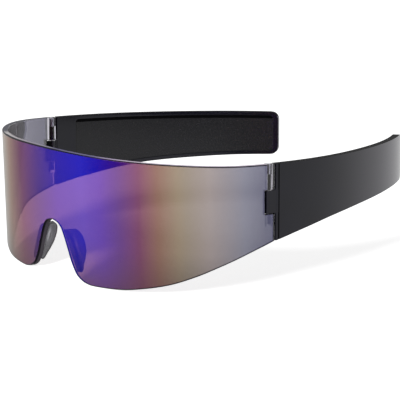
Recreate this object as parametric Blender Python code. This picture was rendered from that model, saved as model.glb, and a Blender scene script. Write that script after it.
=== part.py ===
"""Sports sunglasses: a one-piece mirrored shield that wraps round the face, with two hinged temples.

The lens shield carries everything. Each rear end of it has a knuckle with a slot, a temple puts its
barrel into the slot, and a steel pin dropped in from above joins the two. Two clear nose pads stand
behind the shield, one each side of the nose cut-out.

Axes: +X is the wearer's left, -Y is the front, +Z is up. The origin is under the middle of the model.
"""

import math

import bmesh
import bpy
from mathutils import Vector

# Overall sizes
OVERALL_WIDTH = 0.146
LENS_HEIGHT = 0.045
TEMPLE_LENGTH = 0.090

# Lens shield, moulded clear with its coating on the front
LENS_THICKNESS = 0.0022
LENS_EDGE_BEVEL = 0.00025
# Heading of the front face in plan, in degrees, at shares of the way from the middle to the hinge
LENS_TURN_SHARES = (
    (0.0, 0.0),
    (0.21, 5.5),
    (0.43, 19.5),
    (0.59, 32.0),
    (0.75, 49.0),
    (0.91, 82.0),
    (1.0, 90.0),
)
# Lower edge: shares of the half arc, and of the lens height below the flat top edge
LENS_EDGE_SHARES = (
    (0.0, 0.556),
    (0.035, 0.572),
    (0.060, 0.610),
    (0.076, 0.665),
    (0.098, 0.757),
    (0.120, 0.855),
    (0.135, 0.903),
    (0.150, 0.941),
    (0.170, 0.968),
    (0.200, 0.990),
    (0.240, 1.0),
    (0.300, 0.996),
    (0.400, 0.983),
    (0.500, 0.950),
    (0.600, 0.902),
    (0.700, 0.827),
    (0.800, 0.735),
    (0.900, 0.648),
    (1.0, 0.575),
)
# The shield leans back as it goes down, and stands upright again at the hinges
LENS_LEAN_DEGREES = 2.3
LEAN_FADE_POWER = 4
NOSE_COLUMNS = 26
NOSE_COLUMNS_SHARE = 0.26
SIDE_COLUMNS = 36

# Hinge: knuckles and slot in the lens end, barrel on the temple
KNUCKLE_RADIUS = 0.0015
KNUCKLE_SKIN = 0.0003
KNUCKLE_LIP = 0.0001
KNUCKLE_DROP = 0.0001
LOWER_KNUCKLE_LENGTH = 0.0042
SLOT_TOP = 0.0086
SLOT_HEIGHT = 0.0082
SLOT_DEPTH = 0.0043
HINGE_GAP = 0.0004
BARREL_END_GAP = 0.0003
WEB_INNER_SHARE = 0.4
WEB_ROOT = 0.0008

# Hinge pin, a headed steel pin set in from the top edge
PIN_RADIUS = 0.0005
PIN_HEAD_RADIUS = 0.0008
PIN_HEAD_LENGTH = 0.0036
PIN_NECK_LENGTH = 0.0008
PIN_RECESS = 0.0003
PIN_SEAT_LENGTH = 0.0030
PIN_BEVEL = 0.00015
SEAT_CLEARANCE = 0.00015
RUNNING_CLEARANCE = 0.0001
BORE_END_CLEARANCE = 0.0003

# Temples
TEMPLE_THICKNESS = 0.0026
TEMPLE_EDGE_BEVEL = 0.00035
# Heading of the outer face in plan, in degrees, at shares of the temple's length
TEMPLE_TURN_SHARES = (
    (0.0, 91.0),
    (0.13, 97.0),
    (0.42, 111.5),
    (0.70, 121.5),
    (1.0, 136.0),
)
# Height at shares of the temple's length, as shares of the lens height at the hinge
TEMPLE_HEIGHT_SHARES = (
    (0.0, 1.0),
    (0.13, 0.895),
    (0.30, 0.785),
    (0.47, 0.720),
    (0.64, 0.680),
    (0.81, 0.650),
    (1.0, 0.632),
)
TEMPLE_COLUMNS = 44
CORNER_COLUMNS = 6
FRONT_CORNER_RADIUS = 0.0009
TIP_CORNER_RADIUS = 0.0030
# Shallow panel sunk into the inner face, behind a full-thickness block at the hinge
PANEL_DEPTH = 0.0006
PANEL_START = 0.0082
PANEL_RIM = 0.0014
PANEL_TIP_RIM = 0.0021
PANEL_CORNER_RADIUS = 0.0012

# Nose pads, clear smoke fins bonded behind the edge of the nose cut-out
PAD_PROJECTION = 0.0052
PAD_THICKNESS = 0.0015
PAD_EDGE_BEVEL = 0.0005
PAD_SEAT_GAP = 0.0003
PAD_SPLAY_DEGREES = 17.0
# Ends of the pad's root: shares of the half arc, and of the lens height
PAD_TOP_SHARES = (0.076, 0.615)
PAD_BOTTOM_SHARES = (0.150, 0.920)
# How far the fin stands out: shares of its length, and of its projection
PAD_OUTLINE_SHARES = (
    (0.0, 0.66),
    (0.05, 0.82),
    (0.14, 0.95),
    (0.28, 1.0),
    (0.48, 0.94),
    (0.70, 0.71),
    (0.86, 0.46),
    (0.95, 0.34),
    (1.0, 0.22),
)

# Construction
ROUND_SEGMENTS = 24
PLAN_SUBSTEPS = 8
CUT_OVERRUN = 0.002
SMOOTH_ANGLE_DEGREES = 28.0


def smooth_value(table, share):
    """Value at a share of the way along a smooth curve through a table's points, with no overshoot."""
    index = 0
    while index < len(table) - 2 and share > table[index + 1][0]:
        index += 1
    start, low = table[index]
    end, high = table[index + 1]
    span = end - start
    t = (share - start) / span
    slope_in = table_slope(table, index) * span
    slope_out = table_slope(table, index + 1) * span
    rise = high - low
    curve = (slope_in + slope_out - 2.0 * rise) * t + (3.0 * rise - 2.0 * slope_in - slope_out)
    return low + t * (slope_in + t * curve)


def table_slope(table, index):
    """Slope of the smooth curve at one of the table's points."""
    slopes = []
    for first in (index - 1, index):
        if 0 <= first < len(table) - 1:
            run = table[first + 1][0] - table[first][0]
            slopes.append((table[first + 1][1] - table[first][1]) / run)
    if len(slopes) == 1:
        return slopes[0]
    if slopes[0] * slopes[1] <= 0.0:
        return 0.0
    return 2.0 * slopes[0] * slopes[1] / (slopes[0] + slopes[1])


def walk_plan(start, turns, length, shares):
    """Follow a plan curve and give its x, y and heading in radians at each share of its length."""
    x, y = start
    reached = 0.0
    frames = []
    for share in shares:
        step = (share - reached) / PLAN_SUBSTEPS
        for index in range(PLAN_SUBSTEPS):
            heading = math.radians(smooth_value(turns, reached + (index + 0.5) * step))
            x += math.cos(heading) * step * length
            y += math.sin(heading) * step * length
        reached = share
        frames.append((x, y, math.radians(smooth_value(turns, share))))
    return frames


def lens_shares():
    """Shares of the half arc at which the shield has a column, closer together round the nose."""
    shares = [NOSE_COLUMNS_SHARE * index / NOSE_COLUMNS for index in range(NOSE_COLUMNS)]
    for index in range(SIDE_COLUMNS + 1):
        shares.append(NOSE_COLUMNS_SHARE + (1.0 - NOSE_COLUMNS_SHARE) * index / SIDE_COLUMNS)
    return shares


def corner_drop(distance, radius):
    """How far a rounded corner falls back from its edge, at a distance from the corner's end."""
    if distance >= radius:
        return 0.0
    return radius - math.sqrt(radius ** 2 - (radius - distance) ** 2)


def corner_distances(radius):
    """Distances from a rounded corner's end at equal angles round it."""
    steps = range(CORNER_COLUMNS)
    return [radius * (1.0 - math.cos(math.pi / 2 * index / CORNER_COLUMNS)) for index in steps]


# Plan of the left half, in a working frame whose origin is the middle of the lens's top front edge
LENS_SHARES = lens_shares()
LENS_REACH_SHARE = walk_plan((0.0, 0.0), LENS_TURN_SHARES, 1.0, LENS_SHARES)[-1][0]
LENS_HALF_ARC = OVERALL_WIDTH / 2 / LENS_REACH_SHARE
LENS_FRAMES = walk_plan((0.0, 0.0), LENS_TURN_SHARES, LENS_HALF_ARC, LENS_SHARES)
LENS_END = LENS_FRAMES[-1]
LENS_END_HEIGHT = LENS_HEIGHT * LENS_EDGE_SHARES[-1][1]

PIN_X = LENS_END[0] - KNUCKLE_SKIN - KNUCKLE_RADIUS
PIN_Y = LENS_END[1] - KNUCKLE_LIP - KNUCKLE_RADIUS
SLOT_BOTTOM = SLOT_TOP + SLOT_HEIGHT
KNUCKLE_BOTTOM = SLOT_BOTTOM + LOWER_KNUCKLE_LENGTH
PIN_BOTTOM = SLOT_BOTTOM + PIN_SEAT_LENGTH
TEMPLE_START = (LENS_END[0], LENS_END[1] + HINGE_GAP)


def temple_shares():
    """Shares of the temple's length at which it has a column, closer together at its round ends."""
    shares = [distance / TEMPLE_LENGTH for distance in corner_distances(FRONT_CORNER_RADIUS)]
    first = FRONT_CORNER_RADIUS / TEMPLE_LENGTH
    last = 1.0 - TIP_CORNER_RADIUS / TEMPLE_LENGTH
    for index in range(TEMPLE_COLUMNS + 1):
        shares.append(first + (last - first) * index / TEMPLE_COLUMNS)
    for distance in reversed(corner_distances(TIP_CORNER_RADIUS)):
        shares.append(1.0 - distance / TEMPLE_LENGTH)
    return shares


TEMPLE_SHARES = temple_shares()
TEMPLE_FRAMES = walk_plan(TEMPLE_START, TEMPLE_TURN_SHARES, TEMPLE_LENGTH, TEMPLE_SHARES)


def plan_point(frame, inset):
    """Point in plan that lies a distance inside the outer face at one frame of a plan curve."""
    x, y, heading = frame
    return x - inset * math.sin(heading), y + inset * math.cos(heading)


OVERALL_DEPTH = max(plan_point(frame, 0.0)[1] for frame in TEMPLE_FRAMES)
TO_WORLD = Vector((0.0, -OVERALL_DEPTH / 2, LENS_HEIGHT))


def plate_section(outer, inner, top, bottom, bevel):
    """Eight corners of a bevelled rectangle, as pairs of an inset and a height."""
    return [
        (outer + bevel, top),
        (inner - bevel, top),
        (inner, top - bevel),
        (inner, bottom + bevel),
        (inner - bevel, bottom),
        (outer + bevel, bottom),
        (outer, bottom + bevel),
        (outer, top - bevel),
    ]


def loft(rings):
    """Closed solid through rings that have equal numbers of points."""
    bm = bmesh.new()
    loops = [[bm.verts.new(point) for point in ring] for ring in rings]
    count = len(loops[0])
    for near, far in zip(loops, loops[1:]):
        for index in range(count):
            after = (index + 1) % count
            bm.faces.new((near[index], near[after], far[after], far[index]))
    bm.faces.new(loops[0])
    bm.faces.new(loops[-1])
    bmesh.ops.recalc_face_normals(bm, faces=bm.faces)
    return bm


def turned(profile, x, y):
    """Closed solid turned about the vertical line through x, y from a profile of radius and height."""
    bm = bmesh.new()
    rings = []
    for radius, height in profile:
        if radius == 0.0:
            rings.append([bm.verts.new((x, y, height))])
            continue
        ring = []
        for index in range(ROUND_SEGMENTS):
            angle = 2.0 * math.pi * index / ROUND_SEGMENTS
            ring.append(bm.verts.new((x + radius * math.cos(angle), y + radius * math.sin(angle), height)))
        rings.append(ring)
    for upper, lower in zip(rings, rings[1:]):
        for index in range(ROUND_SEGMENTS):
            after = (index + 1) % ROUND_SEGMENTS
            corners = [upper[index % len(upper)], upper[after % len(upper)]]
            corners += [lower[after % len(lower)], lower[index % len(lower)]]
            bm.faces.new(list(dict.fromkeys(corners)))
    bmesh.ops.recalc_face_normals(bm, faces=bm.faces)
    return bm


def prism(outline, top, bottom):
    """Closed upright solid with an outline in plan, between two depths below the top edge."""
    return loft([[(x, y, -depth) for x, y in outline] for depth in (top, bottom)])


def circle_outline(radius):
    """Outline in plan of a circle round the pin's axis."""
    angles = [2.0 * math.pi * (index + 0.5) / ROUND_SEGMENTS for index in range(ROUND_SEGMENTS)]
    return [(PIN_X + radius * math.cos(angle), PIN_Y + radius * math.sin(angle)) for angle in angles]


def block(low, high):
    """Box between two corners."""
    bm = bmesh.new()
    bmesh.ops.create_cube(bm, size=1.0)
    size = Vector(high) - Vector(low)
    bmesh.ops.scale(bm, vec=size, verts=bm.verts)
    bmesh.ops.translate(bm, vec=(Vector(low) + Vector(high)) / 2, verts=bm.verts)
    return bm


def make_material(name, colour, roughness, metallic=0.0, alpha=1.0):
    """Principled material for one piece."""
    material = bpy.data.materials.new(name)
    material.use_nodes = True
    shader = material.node_tree.nodes["Principled BSDF"]
    shader.inputs["Base Color"].default_value = (*colour, 1.0)
    shader.inputs["Roughness"].default_value = roughness
    shader.inputs["Metallic"].default_value = metallic
    shader.inputs["Alpha"].default_value = alpha
    return material


def add_object(name, bm, side=1, origin=(0.0, 0.0, 0.0)):
    """Object from a bmesh drawn for the left side, mirrored for the right, with its origin where given."""
    offset = TO_WORLD - Vector(origin)
    bmesh.ops.translate(bm, vec=offset, verts=bm.verts)
    if side < 0:
        bmesh.ops.scale(bm, vec=(-1.0, 1.0, 1.0), verts=bm.verts)
        bmesh.ops.reverse_faces(bm, faces=bm.faces)
    mesh = bpy.data.meshes.new(name)
    bm.to_mesh(mesh)
    bm.free()
    mesh.shade_smooth()
    mesh.set_sharp_from_angle(angle=math.radians(SMOOTH_ANGLE_DEGREES))
    piece = bpy.data.objects.new(name, mesh)
    piece.location = (side * origin[0], origin[1], origin[2])
    bpy.context.scene.collection.objects.link(piece)
    return piece


def combine(piece, tool, operation):
    """Join a tool to a piece, or cut it out, with an exact Boolean that stays live."""
    tool.hide_render = True
    tool.display_type = "WIRE"
    modifier = piece.modifiers.new(tool.name, "BOOLEAN")
    modifier.operation = operation
    modifier.solver = "EXACT"
    modifier.object = tool


def side_name(side):
    return "left" if side > 0 else "right"


def pin_profile(clearance, top, bottom):
    """Outline of the headed pin, or of the bore that holds it with a clearance all round."""
    neck = PIN_HEAD_LENGTH - PIN_NECK_LENGTH
    return [
        (0.0, -top),
        (PIN_HEAD_RADIUS + clearance, -top),
        (PIN_HEAD_RADIUS + clearance, -PIN_RECESS - neck),
        (PIN_RADIUS + clearance, -PIN_RECESS - PIN_HEAD_LENGTH),
        (PIN_RADIUS + clearance, -bottom),
        (0.0, -bottom),
    ]


# Lens shield
def lens_lean(share):
    """Backward lean per unit of height, full over the face and nil at the hinges."""
    return math.tan(math.radians(LENS_LEAN_DEGREES)) * (1.0 - share ** LEAN_FADE_POWER)


def lens_ring(frame, share, side):
    """Ring of the shield's solid at one column of its left or right half."""
    bottom = -LENS_HEIGHT * smooth_value(LENS_EDGE_SHARES, share)
    ring = []
    for inset, height in plate_section(0.0, LENS_THICKNESS, 0.0, bottom, LENS_EDGE_BEVEL):
        x, y = plan_point(frame, inset)
        ring.append((side * x, y - height * lens_lean(share), height))
    return ring


def build_lens():
    rings = [lens_ring(frame, share, -1) for frame, share in zip(LENS_FRAMES, LENS_SHARES)]
    rings.reverse()
    rings += [lens_ring(frame, share, 1) for frame, share in zip(LENS_FRAMES[1:], LENS_SHARES[1:])]
    lens = add_object("lens_shield", loft(rings))
    for side in (1, -1):
        name = side_name(side)
        knuckle = prism(circle_outline(KNUCKLE_RADIUS), KNUCKLE_DROP, KNUCKLE_BOTTOM)
        combine(lens, add_object("knuckle_" + name, knuckle, side), "UNION")
    for side in (1, -1):
        name = side_name(side)
        slot = block(
            (PIN_X - KNUCKLE_RADIUS - CUT_OVERRUN, LENS_END[1] - SLOT_DEPTH, -SLOT_BOTTOM),
            (LENS_END[0] + CUT_OVERRUN, LENS_END[1] + CUT_OVERRUN, -SLOT_TOP),
        )
        combine(lens, add_object("slot_cutter_" + name, slot, side), "DIFFERENCE")
        bore = turned(
            pin_profile(SEAT_CLEARANCE, -CUT_OVERRUN, PIN_BOTTOM + BORE_END_CLEARANCE), PIN_X, PIN_Y
        )
        combine(lens, add_object("bore_cutter_" + name, bore, side), "DIFFERENCE")
    lens.data.materials.append(make_material("mirror_coated_polycarbonate", (0.16, 0.12, 0.55), 0.05, 0.6))


# Temples
def temple_height(share):
    return LENS_END_HEIGHT * smooth_value(TEMPLE_HEIGHT_SHARES, share)


def temple_ring(frame, share):
    """Ring of the temple's solid, drawn in at the front's outer corner and at the tip's corners."""
    outer = corner_drop(share * TEMPLE_LENGTH, FRONT_CORNER_RADIUS)
    drop = corner_drop((1.0 - share) * TEMPLE_LENGTH, TIP_CORNER_RADIUS)
    section = plate_section(
        outer, TEMPLE_THICKNESS, -drop, drop - temple_height(share), TEMPLE_EDGE_BEVEL
    )
    return [(*plan_point(frame, inset), height) for inset, height in section]


def tongue_outline():
    """Outline in plan of the barrel round the pin and the web that joins it to the temple."""
    root = TEMPLE_START[1] + FRONT_CORNER_RADIUS + WEB_ROOT
    inner_angle = math.pi + math.acos(WEB_INNER_SHARE)
    inner = PIN_X - KNUCKLE_RADIUS * WEB_INNER_SHARE
    outline = [(inner, root), (PIN_X + KNUCKLE_RADIUS, root)]
    for index in range(ROUND_SEGMENTS + 1):
        angle = -inner_angle * index / ROUND_SEGMENTS
        outline.append((PIN_X + KNUCKLE_RADIUS * math.cos(angle), PIN_Y + KNUCKLE_RADIUS * math.sin(angle)))
    return outline


def panel_shares():
    """Shares of the temple's length at which the sunk panel has a column."""
    start = PANEL_START
    end = TEMPLE_LENGTH - PANEL_TIP_RIM
    radius = PANEL_CORNER_RADIUS
    distances = [start + distance for distance in corner_distances(radius)]
    for index in range(TEMPLE_COLUMNS + 1):
        distances.append(start + radius + (end - start - 2 * radius) * index / TEMPLE_COLUMNS)
    distances += [end - distance for distance in reversed(corner_distances(radius))]
    return [distance / TEMPLE_LENGTH for distance in distances]


def panel_ring(frame, share):
    """Ring of the cutter that sinks the panel, inside a rim of even width."""
    from_start = share * TEMPLE_LENGTH - PANEL_START
    from_tip = (1.0 - share) * TEMPLE_LENGTH - PANEL_TIP_RIM
    drop = corner_drop(max(0.0, min(from_start, from_tip)), PANEL_CORNER_RADIUS)
    top = -PANEL_RIM - drop
    bottom = PANEL_RIM + drop - temple_height(share)
    depth = TEMPLE_THICKNESS - PANEL_DEPTH
    over = TEMPLE_THICKNESS + CUT_OVERRUN
    corners = ((depth, top), (over, top), (over, bottom), (depth, bottom))
    return [(*plan_point(frame, inset), height) for inset, height in corners]


def build_temple(side, material):
    name = side_name(side)
    origin = (PIN_X, PIN_Y + TO_WORLD.y, LENS_HEIGHT)
    rings = [temple_ring(frame, share) for frame, share in zip(TEMPLE_FRAMES, TEMPLE_SHARES)]
    temple = add_object("temple_" + name, loft(rings), side, origin)
    tongue = prism(tongue_outline(), SLOT_TOP + BARREL_END_GAP, SLOT_BOTTOM - BARREL_END_GAP)
    combine(temple, add_object("tongue_" + name, tongue, side), "UNION")
    shares = panel_shares()
    frames = walk_plan(TEMPLE_START, TEMPLE_TURN_SHARES, TEMPLE_LENGTH, shares)
    panel = loft([panel_ring(frame, share) for frame, share in zip(frames, shares)])
    combine(temple, add_object("panel_cutter_" + name, panel, side), "DIFFERENCE")
    bore = prism(circle_outline(PIN_RADIUS + RUNNING_CLEARANCE), SLOT_TOP, SLOT_BOTTOM)
    combine(temple, add_object("barrel_bore_cutter_" + name, bore, side), "DIFFERENCE")
    temple.data.materials.append(material)


# Hinge pins
def build_pin(side, material):
    profile = pin_profile(0.0, PIN_RECESS, PIN_BOTTOM)
    bevelled = [
        profile[0],
        (PIN_HEAD_RADIUS - PIN_BEVEL, -PIN_RECESS),
        (PIN_HEAD_RADIUS, -PIN_RECESS - PIN_BEVEL),
        *profile[2:4],
        (PIN_RADIUS, PIN_BEVEL - PIN_BOTTOM),
        (PIN_RADIUS - PIN_BEVEL, -PIN_BOTTOM),
        profile[5],
    ]
    pin = add_object("hinge_pin_" + side_name(side), turned(bevelled, PIN_X, PIN_Y), side)
    pin.data.materials.append(material)


# Nose pads
def lens_inner_point(share, height_share):
    """Point on the shield's inner face, by shares of its half arc and of its height."""
    frame = walk_plan((0.0, 0.0), LENS_TURN_SHARES, LENS_HALF_ARC, (share,))[0]
    x, y = plan_point(frame, LENS_THICKNESS)
    height = -LENS_HEIGHT * height_share
    return Vector((x, y - height * lens_lean(share), height))


def build_pad(side, material):
    """D-shaped fin that starts at the shield's inner face and splays outwards as it goes back."""
    top = lens_inner_point(*PAD_TOP_SHARES)
    bottom = lens_inner_point(*PAD_BOTTOM_SHARES)
    splay = math.radians(PAD_SPLAY_DEGREES)
    back = Vector((math.sin(splay), math.cos(splay), 0.0))
    across = (bottom - top).cross(back).normalized()
    if across.x < 0.0:
        across.negate()
    half = PAD_THICKNESS / 2
    rings = []
    for share, reach_share in PAD_OUTLINE_SHARES:
        root = top.lerp(bottom, share)
        ring = []
        for shift, reach in plate_section(-half, half, PAD_PROJECTION * reach_share, 0.0, PAD_EDGE_BEVEL):
            if reach < PAD_PROJECTION * reach_share / 2:
                reach = PAD_SEAT_GAP + reach + shift * math.tan(splay)
            ring.append(root + back * reach + across * shift)
        rings.append(ring)
    pad = add_object("nose_pad_" + side_name(side), loft(rings), side)
    pad.data.materials.append(material)


def build_part():
    for old in list(bpy.data.objects):
        bpy.data.objects.remove(old, do_unlink=True)
    build_lens()
    for side in (1, -1):
        name = side_name(side)
        build_temple(side, make_material("gloss_black_nylon_" + name, (0.02, 0.02, 0.022), 0.15))
        build_pin(side, make_material("hinge_pin_steel_" + name, (0.62, 0.62, 0.64), 0.25, 1.0))
        build_pad(side, make_material("clear_smoke_pad_" + name, (0.30, 0.30, 0.34), 0.15, 0.0, 0.6))


build_part()
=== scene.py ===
"""Sports sunglasses: a mirrored one-piece shield with clear nose pads, hinge pins and wide black temples.

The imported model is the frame. Each piece here is a finer one that stands for the solid of its name.
Metres, +X is the wearer's left, -Y is the front, +Z is up.
"""

import bisect
import math

import bmesh
import bpy
from mathutils import Matrix, Vector, kdtree


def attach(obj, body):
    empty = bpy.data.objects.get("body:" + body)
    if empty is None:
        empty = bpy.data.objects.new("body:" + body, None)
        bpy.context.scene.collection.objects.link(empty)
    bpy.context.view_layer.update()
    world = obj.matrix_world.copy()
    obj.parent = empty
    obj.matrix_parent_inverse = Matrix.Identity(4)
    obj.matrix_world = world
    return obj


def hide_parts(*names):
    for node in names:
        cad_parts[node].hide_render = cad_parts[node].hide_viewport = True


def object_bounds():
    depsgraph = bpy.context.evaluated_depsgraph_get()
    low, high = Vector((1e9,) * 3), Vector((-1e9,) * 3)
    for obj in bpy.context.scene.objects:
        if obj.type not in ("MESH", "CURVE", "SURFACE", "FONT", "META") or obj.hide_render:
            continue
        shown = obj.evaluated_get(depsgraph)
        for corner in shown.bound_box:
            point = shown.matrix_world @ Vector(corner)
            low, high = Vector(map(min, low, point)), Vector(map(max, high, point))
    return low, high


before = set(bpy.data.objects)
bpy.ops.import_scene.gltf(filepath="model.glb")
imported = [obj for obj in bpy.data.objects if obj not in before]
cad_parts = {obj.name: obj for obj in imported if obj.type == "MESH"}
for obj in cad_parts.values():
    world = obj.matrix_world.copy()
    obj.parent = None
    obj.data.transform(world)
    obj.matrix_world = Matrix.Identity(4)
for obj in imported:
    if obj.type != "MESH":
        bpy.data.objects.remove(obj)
cad_low, cad_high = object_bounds()

# Lens shield
# One moulding of smoke polycarbonate that wraps from hinge to hinge. A mirror coating of thin
# vacuum-laid layers covers its front, and the two rear ends are masked off and stay clear, each
# with a drilled knuckle and a slot that take the temple.
WIDTH = 0.146
LENS_HEIGHT = 0.045
LENS_THICKNESS = 0.0022
LENS_EDGE_ROUND = 0.00025
LENS_TURNS = ((0.0, 0.0), (0.21, 5.5), (0.43, 19.5), (0.59, 32.0), (0.75, 49.0), (0.91, 82.0), (1.0, 90.0))
LENS_EDGE = (
    (0.0, 0.556), (0.035, 0.572), (0.060, 0.610), (0.076, 0.665), (0.098, 0.757), (0.120, 0.855),
    (0.135, 0.903), (0.150, 0.941), (0.170, 0.968), (0.200, 0.990), (0.240, 1.0), (0.300, 0.996),
    (0.400, 0.983), (0.500, 0.950), (0.600, 0.902), (0.700, 0.827), (0.800, 0.735), (0.900, 0.648),
    (1.0, 0.575),
)
LENS_LEAN = math.tan(math.radians(2.3))
SLOT_TOP = 0.0086
SLOT_BOTTOM = 0.0168
SLOT_DEPTH = 0.0043
KNUCKLE_BOTTOM = 0.0210
KNUCKLE_RADIUS = 0.0015
KNUCKLE_SKIN = 0.0003
KNUCKLE_LIP = 0.0001
KNUCKLE_DROP = 0.0001
BORE_RADIUS = 0.00065
BORE_HEAD_RADIUS = 0.00095
HEAD_BORE_BOTTOM = 0.0034
SHANK_BORE_TOP = 0.0030
SHANK_BORE_BOTTOM = 0.0201
OVERCUT = 0.002
CLEAR_WINDOW = 0.0031
CLEAR_STEP = 0.0015
CLEAR_END = 0.0007
BORDER = 0.0005
NOSE_SHARE = 0.26
PLAN_STEPS = 400
MERGE_DISTANCE = 0.000001
MARGIN = 0.0001


def table_slope(table, index):
    """Slope of the smooth curve at one of the table's points."""
    slopes = []
    for first in (index - 1, index):
        if 0 <= first < len(table) - 1:
            run = table[first + 1][0] - table[first][0]
            slopes.append((table[first + 1][1] - table[first][1]) / run)
    if len(slopes) == 1:
        return slopes[0]
    if slopes[0] * slopes[1] <= 0.0:
        return 0.0
    return 2.0 * slopes[0] * slopes[1] / (slopes[0] + slopes[1])


def smooth_value(table, share):
    """Value at a share of the way along a smooth curve through a table's points."""
    index = min(max(bisect.bisect_left([row[0] for row in table], share) - 1, 0), len(table) - 2)
    start, low = table[index]
    end, high = table[index + 1]
    t = (share - start) / (end - start)
    into = table_slope(table, index) * (end - start)
    out = table_slope(table, index + 1) * (end - start)
    rise = high - low
    return low + t * (into + t * ((into + out - 2.0 * rise) * t + 3.0 * rise - 2.0 * into - out))


def plan_curve(start, turns, length):
    """Points and headings in plan at even steps along a curve whose heading follows a table."""
    x, y = start
    samples = [(x, y, math.radians(turns[0][1]))]
    for index in range(PLAN_STEPS):
        heading = math.radians(smooth_value(turns, (index + 0.5) / PLAN_STEPS))
        x += math.cos(heading) * length / PLAN_STEPS
        y += math.sin(heading) * length / PLAN_STEPS
        samples.append((x, y, math.radians(smooth_value(turns, (index + 1.0) / PLAN_STEPS))))
    return samples


def plan_point(samples, share, inset):
    """Point a distance inside a plan curve, at a share of its length."""
    place = min(max(share, 0.0), 1.0) * (len(samples) - 1)
    index = min(int(place), len(samples) - 2)
    rest = place - index
    x, y, heading = (a + (b - a) * rest for a, b in zip(samples[index], samples[index + 1]))
    return x - inset * math.sin(heading), y + inset * math.cos(heading)


def edit(piece):
    """Open a piece, and nothing else, in edit mode."""
    bpy.ops.object.select_all(action="DESELECT")
    bpy.context.view_layer.objects.active = piece
    piece.select_set(True)
    bpy.ops.object.mode_set(mode="EDIT")


def done():
    bpy.ops.object.mode_set(mode="OBJECT")


def pick(piece, kind, wanted):
    """Select the vertices, edges or faces that a test names, and give how many there are."""
    bpy.ops.mesh.select_mode(type=kind)
    bpy.ops.mesh.select_all(action="DESELECT")
    bm = bmesh.from_edit_mesh(piece.data)
    parts = {"VERT": bm.verts, "EDGE": bm.edges, "FACE": bm.faces}[kind]
    found = [part for part in parts if wanted(part)]
    for part in found:
        part.select_set(True)
    bm.select_flush_mode()
    bmesh.update_edit_mesh(piece.data)
    return len(found)


def centre(edge):
    return (edge.verts[0].co + edge.verts[1].co) / 2


def sharp(edge, degrees=55.0):
    return len(edge.link_faces) == 2 and edge.calc_face_angle(0.0) > math.radians(degrees)


def flat_sheet(name, columns, rows_at):
    """Grid laid flat in X and Z, whose columns stand at given places and whose rows a function gives."""
    rows = len(rows_at(columns[0]))
    bpy.ops.object.select_all(action="DESELECT")
    bpy.ops.mesh.primitive_grid_add(x_subdivisions=len(columns) - 1, y_subdivisions=rows - 1, size=2.0)
    sheet = bpy.context.object
    sheet.name = name
    sheet.data.name = name
    heights = [rows_at(column) for column in columns]
    for vertex in sheet.data.vertices:
        column = round((vertex.co.x + 1.0) / 2.0 * (len(columns) - 1))
        row = round((1.0 - vertex.co.y) / 2.0 * (rows - 1))
        vertex.co = (columns[column], 0.0, heights[column][row])
    return sheet


def face_outwards(piece):
    edit(piece)
    bpy.ops.mesh.select_all(action="SELECT")
    bpy.ops.mesh.normals_make_consistent(inside=False)
    done()


def thicken(piece, thickness):
    """Extrude a flat sheet backwards into a closed plate."""
    edit(piece)
    pick(piece, "FACE", lambda face: True)
    bpy.ops.mesh.extrude_region_move(TRANSFORM_OT_translate={"value": (0.0, thickness, 0.0)})
    done()
    face_outwards(piece)


def merge_close(piece):
    """Merge the vertices that a bevel or a boolean left on top of one another."""
    edit(piece)
    bpy.ops.mesh.select_mode(type="VERT")
    bpy.ops.mesh.select_all(action="SELECT")
    bpy.ops.mesh.remove_doubles(threshold=MERGE_DISTANCE)
    bpy.ops.mesh.dissolve_degenerate(threshold=MERGE_DISTANCE)
    done()


def bevel_edges(piece, wanted, width, segments):
    edit(piece)
    pick(piece, "EDGE", wanted)
    bpy.ops.mesh.bevel(offset=width, segments=segments, affect="EDGES", clamp_overlap=True)
    done()
    merge_close(piece)


def cylinder(name, radius, top, bottom, place, segments=64):
    """Upright cylinder between two heights."""
    bpy.ops.object.select_all(action="DESELECT")
    bpy.ops.mesh.primitive_cylinder_add(
        vertices=segments, radius=radius, depth=top - bottom, location=(*place, (top + bottom) / 2)
    )
    made = bpy.context.object
    made.name = name
    bpy.ops.object.transform_apply(location=True)
    return made


def boolean(piece, tool, operation):
    """Join or cut with another closed shape, which is used up."""
    modifier = piece.modifiers.new(tool.name, "BOOLEAN")
    modifier.operation = operation
    modifier.solver = "EXACT"
    modifier.material_mode = "INDEX"
    modifier.object = tool
    bpy.ops.object.select_all(action="DESELECT")
    bpy.context.view_layer.objects.active = piece
    piece.select_set(True)
    bpy.ops.object.modifier_apply(modifier=modifier.name)
    bpy.data.objects.remove(tool, do_unlink=True)
    merge_close(piece)


def give_materials(piece, materials, index):
    """Give a piece a set of materials, and one of them to all its faces."""
    for material in materials:
        piece.data.materials.append(material)
    for face in piece.data.polygons:
        face.material_index = index


def smooth_shading(piece, degrees=35.0):
    """Smooth the faces but for sharp edges, and let the broad faces rule the normals."""
    bpy.ops.object.select_all(action="DESELECT")
    bpy.context.view_layer.objects.active = piece
    piece.select_set(True)
    bpy.ops.object.shade_smooth_by_angle(angle=math.radians(degrees))
    modifier = piece.modifiers.new("normals", "WEIGHTED_NORMAL")
    modifier.keep_sharp = True
    modifier.weight = 60
    bpy.ops.object.modifier_apply(modifier=modifier.name)


# The plan of the front face, and where the hinge stands on it
reach = plan_curve((0.0, 0.0), LENS_TURNS, 1.0)[-1][0]
LENS_HALF = WIDTH / 2 / reach
FRONT = cad_low.y
lens_plan = plan_curve((0.0, FRONT), LENS_TURNS, LENS_HALF)
lens_end = lens_plan[-1]
PIN_AXIS = (
    lens_end[0] - KNUCKLE_SKIN - KNUCKLE_RADIUS,
    lens_end[1] - KNUCKLE_LIP - KNUCKLE_RADIUS,
)
slot_step = next(step for step, point in enumerate(lens_plan) if point[1] > lens_end[1] - SLOT_DEPTH)
slot_wall = slot_step / PLAN_STEPS * LENS_HALF
nose_wall = LENS_HALF * NOSE_SHARE

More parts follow.
